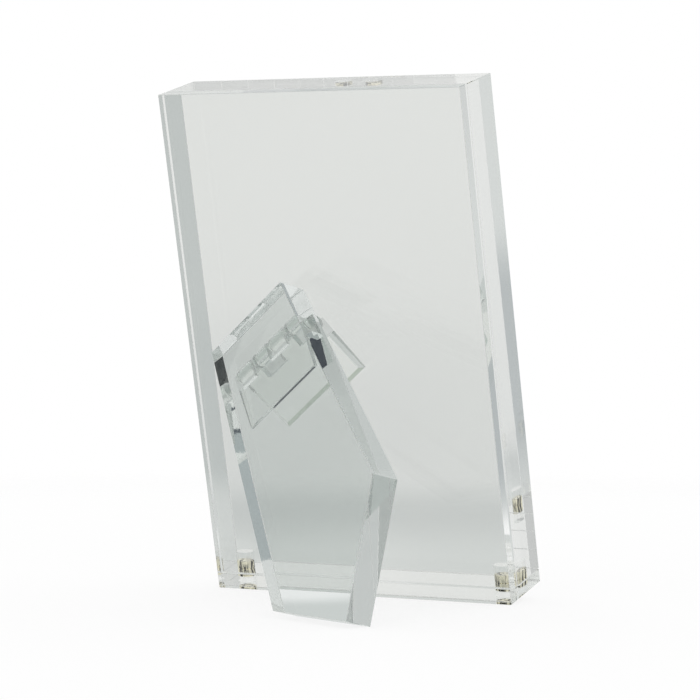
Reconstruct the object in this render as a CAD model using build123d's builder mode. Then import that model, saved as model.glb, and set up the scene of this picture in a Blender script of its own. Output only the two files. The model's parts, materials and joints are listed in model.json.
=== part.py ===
"""Clear acrylic block frame for a 4 x 6 inch print, standing on its diagonal prop leg.

The frame stands in portrait on a table at Z = 0. Its front looks along -Y and its back along +Y.
Sketches of the plate, the hinge and the leg are drawn as seen from behind.
"""

import os
from math import atan, cos, degrees, radians, sin, tan

from build123d import *

# Block, plate and ledge
frame_width = 101.6
block_height = 154.5
block_depth = 17.0
plate_thickness = 4.0
photo_slot = 1.0  # room for the print between the plate and the block
ledge_height = 4.0
edge_break = 0.15  # polished chamfer along the edges of the acrylic
cement_film = 0.05  # thickness of the cement between two acrylic faces

# Magnets
magnet_diameter = 6.0
magnet_height = 2.5
magnet_chamfer = 0.2
magnet_hole_clearance = 0.05  # all round the magnet
magnet_proud = 0.2  # how far the ledge magnets stand above the ledge
magnet_void = 3.0  # empty end of the block's hole, above its magnet
magnet_inset = 5.8  # from the frame's side to the magnet's centre
magnet_setback = 8.5  # from the block's back face to the magnet's centre

# Leg
leg_thickness = 9.5
leg_foot_length = 33.0  # foot edge that stands on the table in portrait
leg_side_length = 42.7  # foot edge that stands on the table in landscape
hinge_angle = 40.0  # from the plate's bottom edge to the hinge axis, degrees
open_angle = 35.4  # between the leg and the plate, degrees
axis_to_corner = 102.8  # from the hinge axis to the plate's corner that the leg folds to
hinge_shift = 0.5  # from that corner up to the hinge's centre, along the axis
stop_clearance = 0.05  # between the leg's top edge and the plate when the leg is open

# Hinge
hinge_length = 31.75
left_margin = 1.8  # leg left beside the hinge, as seen from behind
right_margin = 1.4
knuckle_count = 4
knuckle_gap = 0.3  # between neighbouring knuckles
knuckle_round = 1.0  # at the ends of each knuckle
knuckle_notch_clearance = 2.8  # between a knuckle and the edge of the other leaf
leaf_reach = 20.0  # from the hinge axis to the leaf's free edge
leaf_thickness = 2.5
leaf_edge_thickness = 1.6  # the leaf tapers to this at its free edge
leaf_bevel_width = 1.1  # along the rim of the leaf's inner face
leaf_bevel_depth = 0.8
leaf_clearance = 0.65  # from the hinge axis to the leaf's inner face
barrel_clearance = 0.5  # between the barrel and the acrylic that it lies along
pin_diameter = 1.6
pin_running_clearance = 0.05  # radial, in the leg leaf, which turns on the pin
pin_seat_clearance = 0.02  # radial, in the plate leaf, which holds the pin
pin_recess = 0.5  # from the end of the barrel to the end of the pin

# Derived sizes
block_bottom = ledge_height + magnet_proud
plate_height = block_bottom + block_height
block_back = plate_thickness + photo_slot
frame_depth = block_back + block_depth
magnet_radius = magnet_diameter / 2
magnet_hole_radius = magnet_radius + magnet_hole_clearance
magnet_x = frame_width / 2 - magnet_inset
magnet_sides = {"left": magnet_x, "right": -magnet_x}  # left and right as seen from the front

axis_height = leaf_clearance + leaf_thickness + cement_film
barrel_radius = axis_height - barrel_clearance
knuckle_pitch = hinge_length / knuckle_count
knuckle_length = knuckle_pitch - knuckle_gap
leaf_start = barrel_radius + knuckle_notch_clearance

alpha = radians(hinge_angle)
theta = radians(open_angle)

# The leg's inner face mirrors the plate's back face about the hinge, and its two foot edges
# fold onto the plate's edges. So the foot edge and the plate's bottom edge lie in one plane,
# the table, when the frame leans back by this angle.
lean = atan(cos(alpha) * tan(theta / 2))

# The leg's top edge meets the plate, and stops the leg, this far above the hinge axis.
leg_overhang = axis_height / tan(theta / 2) + edge_break - stop_clearance

# Reach of the ledge to the front, and of the leg's foot to the back, from the plate's bottom edge
front_reach = frame_depth * cos(lean)
foot_height = axis_height * (1 + cos(theta)) + axis_to_corner * sin(theta)
leg_lean = cos(lean) * cos(theta) + cos(alpha) * sin(lean) * sin(theta)
back_reach = foot_height / cos(lean) + leg_thickness * leg_lean

# Planes. plate_back is the plate's back face, with its origin at the middle of the bottom edge,
# x to the right and y up the plate, as seen from behind.
plate_back = Plane(
    origin=(0, (front_reach - back_reach) / 2, -edge_break * sin(lean)),
    x_dir=(-1, 0, 0),
    z_dir=(0, cos(lean), -sin(lean)),
)
hinge_centre = (
    frame_width / 2 - axis_to_corner * sin(alpha) + hinge_shift * cos(alpha),
    axis_to_corner * cos(alpha) + hinge_shift * sin(alpha),
    axis_height,
)
# Both hinge planes have x along the hinge axis and y up the leaf, away from the foot.
plate_hinge = plate_back.moved(Location(hinge_centre, (0, 0, hinge_angle)))
leg_hinge = plate_hinge.moved(Location((0, 0, 0), (-open_angle, 0, 0)))


def level(height):
    """Plane across the plate's up direction, with y towards the front from the plate's front face."""
    origin = plate_back.from_local_coords((0, height, -plate_thickness))
    return Plane(origin=origin, x_dir=plate_back.x_dir, z_dir=plate_back.y_dir)


def barrel_end(plane, length):
    """Plane across the hinge axis, at the near end of a length that is centred on the hinge.

    Its x is the hinge plane's y, and its y is the hinge plane's z.
    """
    origin = plane.from_local_coords((-length / 2, 0, 0))
    return Plane(origin=origin, x_dir=plane.y_dir, z_dir=plane.x_dir)


def save(piece, name):
    """Label a finished piece and write it as its own STEP file."""
    piece.part.label = name
    export_step(piece.part, f"parts/{name}.step")


os.makedirs("parts", exist_ok=True)

# Back plate
with BuildPart() as back_plate:
    with BuildSketch(plate_back):
        with Locations((0, plate_height / 2)):
            Rectangle(frame_width, plate_height)
    extrude(amount=-plate_thickness)
    chamfer(back_plate.edges(), edge_break)
save(back_plate, "back_plate")

# Base ledge, cemented to the plate's front face, with a hole right through for each magnet
ledge_depth = photo_slot + block_depth - cement_film
with BuildPart() as base_ledge:
    with BuildSketch(level(0)):
        with Locations((0, cement_film + ledge_depth / 2)):
            Rectangle(frame_width, ledge_depth)
    extrude(amount=ledge_height)
    joint_face = base_ledge.faces().sort_by(Axis(plate_back.origin, plate_back.z_dir))[-1]
    joint_edges = joint_face.edges()
    chamfer([edge for edge in base_ledge.edges() if edge not in joint_edges], edge_break)
    with BuildSketch(level(0)):
        with Locations([(x, photo_slot + magnet_setback) for x in magnet_sides.values()]):
            Circle(magnet_hole_radius)
    extrude(amount=ledge_height, mode=Mode.SUBTRACT)
save(base_ledge, "base_ledge")

# Front block, with a blind hole in its underside for each magnet
with BuildPart() as front_block:
    with BuildSketch(level(block_bottom)):
        with Locations((0, photo_slot + block_depth / 2)):
            Rectangle(frame_width, block_depth)
    extrude(amount=block_height)
    chamfer(front_block.edges(), edge_break)
    with BuildSketch(level(block_bottom)):
        with Locations([(x, photo_slot + magnet_setback) for x in magnet_sides.values()]):
            Circle(magnet_hole_radius)
    extrude(amount=magnet_height + magnet_void, mode=Mode.SUBTRACT)
save(front_block, "front_block")

# Magnets: each pair meets where the block stands on the ledge
magnet_rows = {"block_magnet": block_bottom, "ledge_magnet": block_bottom - magnet_height}
for row, bottom in magnet_rows.items():
    for side, x in magnet_sides.items():
        with BuildPart() as magnet:
            with BuildSketch(level(bottom)):
                with Locations((x, photo_slot + magnet_setback)):
                    Circle(magnet_radius)
            extrude(amount=magnet_height)
            chamfer(magnet.edges().filter_by(GeomType.CIRCLE), magnet_chamfer)
        save(magnet, f"{row}_{side}")


def hinge_leaf(plane, side, first_knuckle, bore_clearance):
    """Hinge leaf on one hinge plane: its flat leaf, and every second knuckle of the barrel.

    side is -1 where the leaf is cemented to acrylic below the plane, as the plate is, and 1 where
    that acrylic lies above it, as the leg does.
    """
    along = Axis(plane.origin, plane.x_dir)
    up = Axis(plane.origin, plane.y_dir)
    away = Axis(plane.origin, plane.z_dir * side)
    indices = range(first_knuckle, knuckle_count, 2)
    centres = [(index + 0.5) * knuckle_pitch - hinge_length / 2 for index in indices]
    inner = side * leaf_clearance
    outer = side * (leaf_clearance + leaf_thickness)
    edge = outer - side * leaf_edge_thickness
    section = [(-leaf_start, inner), (-leaf_start, outer), (-leaf_reach, outer), (-leaf_reach, edge)]
    with BuildPart() as leaf:
        with BuildSketch(barrel_end(plane, hinge_length)):
            with BuildLine():
                Polyline(*section, close=True)
            make_face()
        extrude(amount=hinge_length)
        inner_face = leaf.faces().sort_by(away)[0]
        inner_rim = inner_face.edges().sort_by(up)[:-1]
        chamfer(inner_rim, leaf_bevel_width, leaf_bevel_depth, reference=inner_face)
        # A web carries each knuckle from the leaf's edge to the hinge axis.
        with BuildSketch(plane.offset(inner)):
            with Locations([(centre, -leaf_start / 2) for centre in centres]):
                Rectangle(knuckle_length, leaf_start)
        extrude(amount=side * leaf_thickness)
        for centre in centres:
            with BuildSketch(plane):
                with Locations((centre, barrel_radius / 2)):
                    Rectangle(knuckle_length, barrel_radius)
                fillet(vertices().group_by(Axis.Y)[-1], knuckle_round)
            revolve(axis=along)
        with BuildSketch(barrel_end(plane, hinge_length)):
            Circle(pin_diameter / 2 + bore_clearance)
        extrude(amount=hinge_length, mode=Mode.SUBTRACT)
    return leaf


# Hinge leaves
hinge_plate_leaf = hinge_leaf(plate_hinge, -1, 0, pin_seat_clearance)
save(hinge_plate_leaf, "hinge_plate_leaf")
hinge_leg_leaf = hinge_leaf(leg_hinge, 1, 1, pin_running_clearance)
save(hinge_leg_leaf, "hinge_leg_leaf")

# Hinge pin
pin_length = hinge_length - 2 * pin_recess
with BuildPart() as hinge_pin:
    with BuildSketch(barrel_end(plate_hinge, pin_length)):
        Circle(pin_diameter / 2)
    extrude(amount=pin_length)
save(hinge_pin, "hinge_pin")

# Leg: five-sided, with a square top edge and two foot edges that fold onto the plate's edges
foot_corner = Vector(-hinge_shift, -axis_to_corner)
foot_end = foot_corner + Vector(-cos(alpha), sin(alpha)) * leg_foot_length
side_end = foot_corner + Vector(sin(alpha), cos(alpha)) * leg_side_length
top_left = Vector(-hinge_length / 2 - left_margin, leg_overhang)
top_right = Vector(hinge_length / 2 + right_margin, leg_overhang)
with BuildPart() as leg:
    with BuildSketch(leg_hinge.offset(axis_height)):
        with BuildLine():
            Polyline(top_left, foot_end, foot_corner, side_end, top_right, close=True)
        make_face()
    extrude(amount=leg_thickness)
    chamfer(leg.edges(), edge_break)
save(leg, "leg")

print(f"lean {degrees(lean):.3f} deg, hinge centre {hinge_centre}, axis at {plate_hinge.origin}")
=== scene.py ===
"""Looks, studio and camera for the clear acrylic block frame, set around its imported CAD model."""

import json
from math import cos, radians, sin

import bpy
from mathutils import Matrix, Vector

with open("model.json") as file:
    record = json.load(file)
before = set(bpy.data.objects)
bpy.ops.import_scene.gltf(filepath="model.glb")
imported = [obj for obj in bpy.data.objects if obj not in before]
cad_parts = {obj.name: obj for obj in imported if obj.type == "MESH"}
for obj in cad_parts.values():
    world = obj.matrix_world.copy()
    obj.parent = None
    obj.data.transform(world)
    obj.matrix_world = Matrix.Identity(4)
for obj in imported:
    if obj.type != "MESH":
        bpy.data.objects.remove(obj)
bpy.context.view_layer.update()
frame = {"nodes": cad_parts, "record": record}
nodes = frame["nodes"]
scene = bpy.context.scene

# Pieces that share a material
sheets = ("front_block", "back_plate", "base_ledge")
hinge_pieces = ("hinge_plate_leaf", "hinge_leg_leaf", "hinge_pin")
block_magnets = ("block_magnet_left", "block_magnet_right")
ledge_magnets = ("ledge_magnet_left", "ledge_magnet_right")

# Axes of the frame and of its hinge, from the joints in the record
joints = {joint["name"]: joint for joint in frame["record"]["behaviour"]["joints"]}
up = Vector(joints["block_lift"]["axis"])
across = Vector((-1, 0, 0))
out = across.cross(up)
along = Vector(joints["leg_fold"]["axis"])
open_turn = Matrix.Rotation(-radians(joints["leg_fold"]["range_deg"][1]), 3, along)
plate_hinge_axes = (along, out.cross(along), out)
leg_hinge_axes = [open_turn @ axis for axis in plate_hinge_axes]

# Lengths and places below are in metres and angles in degrees, apart from the lens and the sensor.

# Camera
camera_place = Vector((-0.42079, 0.79246, 0.10512))
camera_target = Vector((-0.0159, 0.01163, 0.07752))
camera_roll = 0.11
camera_lens = 153.55  # millimetres
camera_sensor = 36.0  # millimetres

# Clear plastics, each with a light and a dark tint that it drifts between
acrylic_index = 1.49
sheet_tints = ((0.938, 0.943, 0.936, 1), (0.923, 0.929, 0.921, 1))
# The leg's tints are darker than the sheets': painted shade on the leg, which is the same acrylic
leg_shaded_tints = ((0.815, 0.842, 0.832, 1), (0.795, 0.824, 0.813, 1))
hinge_tints = ((0.965, 0.975, 0.967, 1), (0.95, 0.962, 0.952, 1))
noise_detail = 3.0
drift_scale = 18.0  # noise cells per metre
haze_scale = 900.0
haze_noise = (0.5, 0.9)  # noise at which the haze starts, and at which it is full
haze_most = 0.02  # roughness of the polished plastic, at most
edge_facing = 0.3  # a surface is a milled edge where it faces the sheet's way by less than this
mill_scale = 420.0  # ripples per metre that milling leaves along an edge
mill_depth = 0.000004
break_facing = cos(radians(45))  # an edge break faces half way between a sheet's face and its edge
break_margin = 0.25
edge_highlight_white = (0.985, 0.985, 0.98, 1)  # edge breaks tinted near white, a painted highlight where the edges catch light
break_roughness = 0.4
end_facing = 0.5  # a surface is an end of the hinge where it faces along the axis by more than this
end_roughness = 0.35  # moulded ends of the hinge's leaves and knuckles
trapped_depth = 14  # bounces after which light that is trapped in the plastic is let out

# Cement: where two faces are cemented, light goes straight through
same_face = 0.00001  # points this close lie on one face
cement_reach = 0.0001  # to each side of the joint
wall_reach = 0.0001  # beyond the surface of a magnet or pin, to the wall of its hole
block_fill = 0.003  # cement in the end of the hole, above a block magnet
ledge_fill = 0.0017  # and below a ledge magnet

# Nickel plating, with a dark and a light tint in streaks, which are painted reflections
nickel_reflection_tints = ((0.02, 0.019, 0.014, 1), (1.0, 0.94, 0.74, 1))
nickel_roughness = (0.06, 0.22)
streak_scale = (900.0, 900.0, 40.0)  # noise cells per metre along X, Y and Z
streak_detail = 1.0
streak_noise = (0.42, 0.53)  # noise at which the dark tint ends, and at which the light one is full

# Floor, a square that fades into the white backdrop before its rim
floor_half_side = 0.6
fade_start = 0.35
fade_end = 0.59
floor_colour = (0.97, 0.97, 0.97, 1)
floor_glow = 0.85  # share of plain white in the floor, over its shadows
white = (1, 1, 1, 1)

# The same floor as the clear pieces and the metal see it: a grey table with soft spots of painted shadow
# and painted light, each given by its centre, inner and outer radius, and colour
table_colour = (0.715, 0.737, 0.728, 1)
table_shadow_and_light_spots = [
    # Painted light under the frame, a painted shadow beside it, painted shade far behind, and painted
    # light off to the side
    (Vector((0.020, -0.027, 0.0)), 0.014, 0.045, white),
    (Vector((0.110, 0.065, 0.0)), 0.050, 0.120, (0.47, 0.50, 0.51, 1)),
    (Vector((0.140, -0.340, 0.0)), 0.030, 0.200, (0.63, 0.65, 0.645, 1)),
    (Vector((0.175, -0.150, 0.0)), 0.030, 0.070, (0.88, 0.90, 0.89, 1)),
]

# Studio as the clear pieces and the metal see it: a pale room with soft patches, each given by
# azimuth from +Y to +X, elevation, inner and outer radius, and colour
room_colour = (0.87, 0.875, 0.865, 1)
room_patches = [
    (0, -90, 78, 93, (0.67, 0.685, 0.68, 1)),
    (-148, -3, 7, 13, (0.58, 0.61, 0.605, 1)),
    (-28, 10, 20, 80, (0.42, 0.43, 0.43, 1)),
    (38, 60, 12, 30, (0.66, 0.67, 0.665, 1)),
    (72, 10, 8, 20, (0.68, 0.70, 0.69, 1)),
    (-160, 38, 8, 20, (0.60, 0.615, 0.61, 1)),
    (137, 8, 5, 10, (0.50, 0.55, 0.49, 1)),
]

# Dark card beside the leg, which only the clear pieces and the metal see
navy_centre = Vector((0.27, 0.002, 0.116))
navy_sides = Vector((0.0, 0.057, 0.0)), Vector((0.0, 0.0, 0.0565))
navy = (0.0, 0.011, 0.032, 1)

# Row of such cards above the leg's other side, each given by its start and end along the row, and
# colour
row_start = Vector((-0.1079, -0.1496, 0.2937))
row_along = Vector((-0.8687, 0.1584, -0.4692))
row_across = Vector((0.1104, -0.8612, -0.4950))
row_middle = 0.077
row_half_width = 0.013
row_black = (0.01, 0.012, 0.012, 1)
row_navy = (0.03, 0.05, 0.08, 1)
row_grey = (0.50, 0.55, 0.57, 1)
row_cards = [
    (-0.019, 0.0115, row_black),
    (0.0115, 0.0195, white),
    (0.0195, 0.0212, row_navy),
    (0.0212, 0.029, row_grey),
    (0.029, 0.0405, white),
    (0.0405, 0.083, row_grey),
    (0.083, 0.120, white),
]

# Light paths through several clear pieces, with their inner reflections
most_bounces = 32


def node_tree(owner):
    """Empty node tree of a new material or world."""
    owner.use_nodes = True
    owner.node_tree.nodes.clear()
    return owner.node_tree


def link(tree, source, node, key):
    """Link a source, which is a node and one of its outputs, to a node's input."""
    tree.links.new(source[0].outputs[source[1]], node.inputs[key])


def add_node(tree, kind, inputs=None, **settings):
    """New node, with a source or a plain value for each named or numbered input."""
    node = tree.nodes.new(f"ShaderNode{kind}")
    for name, value in settings.items():
        setattr(node, name, value)
    for key, value in (inputs or {}).items():
        if isinstance(value, tuple) and isinstance(value[0], bpy.types.Node):
            link(tree, value, node, key)
        else:
            node.inputs[key].default_value = value
    return node


def calculate(tree, operation, *inputs):
    """Source with the result of a Math node, from sources or plain numbers."""
    return add_node(tree, "Math", dict(enumerate(inputs)), operation=operation), 0


def calculate_vector(tree, operation, *inputs, output=0):
    """Source with the result of a VectorMath node, from sources or plain vectors."""
    return add_node(tree, "VectorMath", dict(enumerate(inputs)), operation=operation), output


def map_range(tree, source, start, end, low=0.0, high=1.0, **settings):
    """Source that goes from low to high while another goes from start to end."""
    inputs = {"Value": source, "From Min": start, "From Max": end, "To Min": low, "To Max": high}
    return add_node(tree, "MapRange", inputs, **settings), "Result"


def soft_step(tree, source, start, end):
    """Source that rises softly from 0 to 1 while another goes from start to end."""
    return map_range(tree, source, start, end, interpolation_type="SMOOTHSTEP")


def mix_colours(tree, amount, first, second):
    """Source that goes from a first colour to a second as an amount goes from 0 to 1."""
    return add_node(tree, "MixRGB", {"Fac": amount, "Color1": first, "Color2": second}), "Color"


def add_noise(tree, place, scale):
    """Source with noise in the frame's own place, from 0 to 1."""
    inputs = {"Vector": (place, "Object"), "Scale": scale, "Detail": noise_detail}
    return add_node(tree, "TexNoise", inputs), "Fac"


def facing_axis(tree, place, axis):
    """Source with how far a surface faces along an axis, to either side, from 0 to 1."""
    facing = calculate_vector(tree, "DOT_PRODUCT", (place, "Normal"), axis, output="Value")
    return calculate(tree, "ABSOLUTE", facing)


def points_along(name, to_axes):
    """Points of a node, measured along the three axes that are a matrix's rows."""
    return [to_axes @ vertex.co for vertex in nodes[name].data.vertices]


def box_round(points, to_axes):
    """Centre, turn and half sizes of the box round some points that are measured along three axes."""
    low = Vector([min(point[i] for point in points) for i in range(3)])
    high = Vector([max(point[i] for point in points) for i in range(3)])
    from_axes = to_axes.transposed()
    return from_axes @ ((low + high) / 2), from_axes.to_euler(), (high - low) / 2


def face_box(name, axes, side):
    """Thin box round a node's face that lies furthest along the third of three axes, or against it."""
    to_axes = Matrix(axes)
    points = points_along(name, to_axes)
    level = max(point.z * side for point in points)
    face = [point for point in points if point.z * side > level - same_face]
    centre, turn, half = box_round(face, to_axes)
    return centre, turn, Vector((half.x, half.y, cement_reach))


def wall_box(name, axes):
    """Box round the wall of the hole that a round piece fills, with the piece along the first axis.

    It leaves out the piece's ends.
    """
    to_axes = Matrix(axes)
    centre, turn, half = box_round(points_along(name, to_axes), to_axes)
    return centre, turn, half + Vector((-same_face, wall_reach, wall_reach))


def hole_box(name):
    """Box round the wall of a magnet's hole, along the magnet and the cement in the hole's end."""
    centre, turn, half = wall_box(name, (up, out, across))
    fill, side = (block_fill, 1) if name in block_magnets else (ledge_fill, -1)
    return centre + up * side * fill / 2, turn, half + Vector((fill / 2, 0, 0))


def cement_boxes():
    """Boxes round every cemented face."""
    boxes = [
        face_box("hinge_plate_leaf", plate_hinge_axes, -1),
        face_box("hinge_leg_leaf", leg_hinge_axes, 1),
        face_box("base_ledge", (across, up, out), 1),
        wall_box("hinge_pin", plate_hinge_axes),
    ]
    return boxes + [hole_box(name) for name in block_magnets + ledge_magnets]


def outside_cement(tree, place):
    """Source that is 0 inside any of the boxes round the cemented faces, and 1 outside them all."""
    least = 1.0
    for centre, turn, half in cement_boxes():
        inputs = {"Vector": (place, "Object"), "Location": centre, "Rotation": turn, "Scale": half}
        inside = add_node(tree, "Mapping", inputs, vector_type="TEXTURE")
        size = calculate_vector(tree, "ABSOLUTE", (inside, 0))
        steps = calculate_vector(tree, "FLOOR", size)
        distance = calculate_vector(tree, "LENGTH", steps, output="Value")
        least = calculate(tree, "MINIMUM", least, distance)
    return least


def index_source(tree, place):
    """Source with the plastic's index, or 1 on cemented faces and for light that stays trapped."""
    rays = add_node(tree, "LightPath")
    fresh = calculate(tree, "LESS_THAN", (rays, "Ray Depth"), trapped_depth)
    bent = calculate(tree, "MINIMUM", outside_cement(tree, place), fresh)
    return map_range(tree, bent, 0.0, 1.0, low=1.0, high=acrylic_index)


def drifting_tint(tree, place, tints):
    """Source with a colour that drifts between two tints."""
    return mix_colours(tree, add_noise(tree, place, drift_scale), *tints)


def matt_haze(tree, place, mask, most):
    """Source with the roughness of polished plastic, raised to a given most where a mask is 1."""
    haze = map_range(tree, add_noise(tree, place, haze_scale), *haze_noise, high=haze_most)
    return calculate(tree, "MAXIMUM", haze, calculate(tree, "MULTIPLY", mask, most))


def clear_shader(tree, place, colour, tint, roughness):
    """Shader of clear plastic, from its plain colour and the sources of its tint and roughness."""
    shader = add_node(tree, "BsdfPrincipled", {
        "Base Color": colour,
        "Roughness": 0.0,
        "IOR": acrylic_index,
        "Transmission Weight": 1.0,
    })
    link(tree, tint, shader, "Base Color")
    link(tree, roughness, shader, "Roughness")
    link(tree, index_source(tree, place), shader, "IOR")
    add_node(tree, "OutputMaterial", {"Surface": (shader, "BSDF")})
    return shader


def hinge_plastic():
    """Clear plastic of the hinge, with matt moulded ends."""
    material = bpy.data.materials.new("hinge_plastic")
    tree = node_tree(material)
    place = add_node(tree, "TexCoord")
    end = calculate(tree, "GREATER_THAN", facing_axis(tree, place, along), end_facing)
    tint = drifting_tint(tree, place, hinge_tints)
    clear_shader(tree, place, hinge_tints[0], tint, matt_haze(tree, place, end, end_roughness))
    return material


def sheet_plastic(name, tints, normal):
    """Clear plastic of a sheet: milled edges with faint ripples, and fine matt edge breaks tinted near
    white as a painted highlight.
    """
    material = bpy.data.materials.new(name)
    tree = node_tree(material)
    place = add_node(tree, "TexCoord")
    facing = facing_axis(tree, place, normal)
    edge = calculate(tree, "LESS_THAN", facing, edge_facing)
    broken = calculate(tree, "COMPARE", facing, break_facing, break_margin)
    # Edge breaks take a near-white tint: a painted highlight where the edges catch light; their matt
    # roughness is real
    tint = mix_colours(tree, broken, drifting_tint(tree, place, tints), edge_highlight_white)
    roughness = matt_haze(tree, place, broken, break_roughness)
    shader = clear_shader(tree, place, tints[0], tint, roughness)
    ripples = add_noise(tree, place, mill_scale)
    bump = add_node(tree, "Bump", {"Strength": edge, "Distance": mill_depth, "Height": ripples})
    link(tree, (bump, "Normal"), shader, "Normal")
    return material


def plated_nickel():
    """Nickel plating with fine upright streaks of painted reflection."""
    material = bpy.data.materials.new("plated_nickel")
    tree = node_tree(material)
    place = add_node(tree, "TexCoord")
    stretch = add_node(tree, "Mapping", {"Vector": (place, "Object"), "Scale": streak_scale})
    noise_inputs = {"Vector": (stretch, 0), "Scale": 1.0, "Detail": streak_detail}
    streaks = add_node(tree, "TexNoise", noise_inputs), "Fac"
    # The dark and light streaks in the base colour are painted reflections
    tint = mix_colours(tree, map_range(tree, streaks, *streak_noise), *nickel_reflection_tints)
    roughness = map_range(tree, streaks, 0.0, 1.0, *nickel_roughness)
    shader = add_node(
        tree, "BsdfPrincipled", {"Base Color": tint, "Metallic": 1.0, "Roughness": roughness}
    )
    add_node(tree, "OutputMaterial", {"Surface": (shader, "BSDF")})
    return material


def wear_material(name, material):
    """Give a CAD node one material."""
    slots = nodes[name].data.materials
    slots.clear()
    slots.append(material)


def add_mesh(name, corners, material):
    """Flat stage piece with one face."""
    mesh = bpy.data.meshes.new(name)
    mesh.from_pydata(corners, [], [range(len(corners))])
    mesh.materials.append(material)
    piece = bpy.data.objects.new(name, mesh)
    scene.collection.objects.link(piece)
    return piece


def add_card(name, centre, side, rise, colour):
    """Flat glowing card, given by its centre and two half sides, for clear and shiny pieces alone."""
    material = bpy.data.materials.new(name)
    tree = node_tree(material)
    glow = add_node(tree, "Emission", {"Color": colour})
    add_node(tree, "OutputMaterial", {"Surface": (glow, "Emission")})
    near, far = centre - rise, centre + rise
    card = add_mesh(name, [near - side, near + side, far + side, far - side], material)
    card.visible_camera = False
    card.visible_diffuse = False
    card.visible_shadow = False


def add_row():
    """Row of cards, side by side."""
    for number, (start, end, colour) in enumerate(row_cards):
        centre = row_start + row_along * (start + end) / 2 + row_across * row_middle
        half_length = row_along * (end - start) / 2
        add_card(f"row_card_{number}", centre, half_length, row_across * row_half_width, colour)


def table_tone(tree, place):
    """Source with the colour of the table and its spots of painted shadow and painted light."""
    tone = table_colour
    for centre, inner, outer, colour in table_shadow_and_light_spots:
        distance = calculate_vector(tree, "DISTANCE", (place, "Object"), centre, output="Value")
        tone = mix_colours(tree, soft_step(tree, distance, inner, outer), colour, tone)
    return tone


def add_floor():
    """White floor that keeps the frame's shadow and turns clear towards its rim.

    Clear and shiny pieces see it as a grey table with soft spots of painted shadow and painted light.
    """
    material = bpy.data.materials.new("floor")
    tree = node_tree(material)
    place = add_node(tree, "TexCoord")
    matt = add_node(tree, "BsdfDiffuse", {"Color": floor_colour})
    glow = add_node(tree, "Emission", {"Color": white})
    shown = add_node(tree, "MixShader", {0: floor_glow, 1: (matt, "BSDF"), 2: (glow, "Emission")})
    table = add_node(tree, "Emission", {"Color": table_tone(tree, place)})
    rays = add_node(tree, "LightPath")
    inside = calculate(tree, "MAXIMUM", (rays, "Is Glossy Ray"), (rays, "Is Transmission Ray"))
    seen = add_node(tree, "MixShader", {0: inside, 1: (shown, "Shader"), 2: (table, "Emission")})
    radius = calculate_vector(tree, "LENGTH", (place, "Object"), output="Value")
    fade = soft_step(tree, radius, fade_start, fade_end)
    clear = add_node(tree, "BsdfTransparent")
    faded = add_node(tree, "MixShader", {0: fade, 1: (seen, "Shader"), 2: (clear, "BSDF")})
    add_node(tree, "OutputMaterial", {"Surface": (faded, "Shader")})
    half = floor_half_side
    add_mesh("floor", [(-half, -half, 0), (half, -half, 0), (half, half, 0), (-half, half, 0)], material)


def aim(azimuth, elevation):
    """Unit vector for an azimuth from +Y to +X and an elevation."""
    level = cos(radians(elevation))
    return Vector((
        level * sin(radians(azimuth)), level * cos(radians(azimuth)), sin(radians(elevation))
    ))


def room_tone(tree, place):
    """Source with the colour of the room and its patches."""
    tone = room_colour
    for azimuth, elevation, inner, outer, colour in room_patches:
        middle = aim(azimuth, elevation)
        facing = calculate_vector(tree, "DOT_PRODUCT", (place, "Generated"), middle, output="Value")
        amount = soft_step(tree, facing, cos(radians(outer)), cos(radians(inner)))
        tone = mix_colours(tree, amount, tone, colour)
    return tone


def add_world():
    """White for the camera and the light on the floor, and the room for what shines or is clear."""
    world = bpy.data.worlds.new("studio")
    tree = node_tree(world)
    place = add_node(tree, "TexCoord")
    rays = add_node(tree, "LightPath")
    plain = calculate(tree, "MAXIMUM", (rays, "Is Camera Ray"), (rays, "Is Diffuse Ray"))
    shown = mix_colours(tree, plain, room_tone(tree, place), white)
    backdrop = add_node(tree, "Background", {"Color": shown, "Strength": 1.0})
    add_node(tree, "OutputWorld", {"Surface": (backdrop, "Background")})
    scene.world = world


def add_camera():
    """Camera at the photograph's viewing angle."""
    data = bpy.data.cameras.new("camera")
    data.lens = camera_lens
    data.sensor_width = camera_sensor
    camera = bpy.data.objects.new("camera", data)
    scene.collection.objects.link(camera)
    camera.location = camera_place
    turn = (camera_target - camera_place).to_track_quat("-Z", "Y").to_matrix()
    camera.rotation_euler = (turn @ Matrix.Rotation(radians(camera_roll), 3, "Z")).to_euler()
    scene.camera = camera


looks = (
    (sheets, sheet_plastic("cast_acrylic", sheet_tints, out)),
    # The leg wears a darker copy of the acrylic, painted shade
    (("leg",), sheet_plastic("leg_shaded_acrylic", leg_shaded_tints, leg_hinge_axes[2])),
    (hinge_pieces, hinge_plastic()),
    (block_magnets + ledge_magnets, plated_nickel()),
)
for names, material in looks:
    for name in names:
        wear_material(name, material)

add_floor()
add_world()
add_card("navy_card", navy_centre, *navy_sides, navy)
add_row()
add_camera()
scene.view_settings.view_transform = "Standard"
scene.cycles.max_bounces = most_bounces
scene.cycles.glossy_bounces = most_bounces
scene.cycles.transmission_bounces = most_bounces
